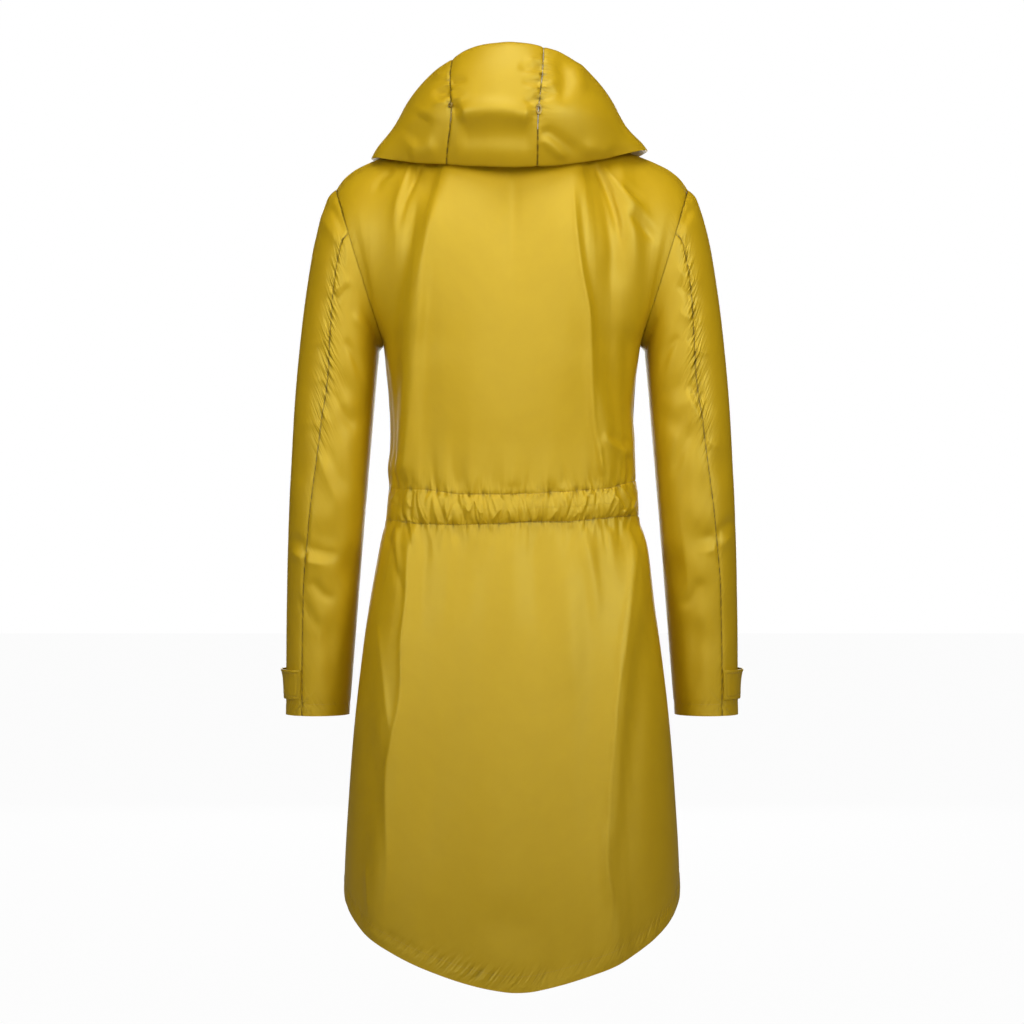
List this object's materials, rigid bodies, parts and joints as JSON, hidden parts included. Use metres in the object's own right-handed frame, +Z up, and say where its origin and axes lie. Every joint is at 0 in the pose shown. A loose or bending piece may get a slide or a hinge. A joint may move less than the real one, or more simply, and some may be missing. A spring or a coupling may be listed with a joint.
{
  "type": "hooded windbreaker coat",
  "caption": "Long hooded windbreaker in glossy light nylon, hollow as worn, with a gathered waist casing, lowered hood, set-in sleeves with cuff tabs and a front zip.",
  "frame": {"origin": "midway between the two side neck points, where the wearer's shoulders carry the garment", "axes": "+Z up, +Y out of the garment's back, -Y out of its front, +X to the wearer's left"},
  "size_m": [0.5438, 0.2902, 1.0762],
  "materials": {
    "cloth": "glossy coated nylon with a satin face",
    "zip_tape": "woven polyester tape",
    "zip_teeth": "moulded coil",
    "metal": "plated, lightly worn"
  },
  "bodies": {
    "coat": {"back": "cloth", "front_left": "cloth", "front_right": "cloth", "waist_casing": "cloth", "sleeve_left_upper": "cloth", "sleeve_left_under": "cloth", "cuff_tab_left": "cloth", "sleeve_right_upper": "cloth", "sleeve_right_under": "cloth", "cuff_tab_right": "cloth", "hood_left": "cloth", "hood_centre": "cloth", "hood_right": "cloth", "hood_eyelet_left": "metal", "hood_eyelet_right": "metal", "zip_tape_left": "zip_tape", "zip_tape_right": "zip_tape", "zip_teeth": "zip_teeth", "zip_slider": "metal"},
    "pull": {"zip_pull": "metal"}
  },
  "joints": [
    {"name": "pull_hinge", "type": "hinge", "parent": "coat", "child": "pull", "pos_m": [0, -0.11023, -0.11017], "axis": [-1, 0, 0], "range_deg": [0, 150]}
  ]
}
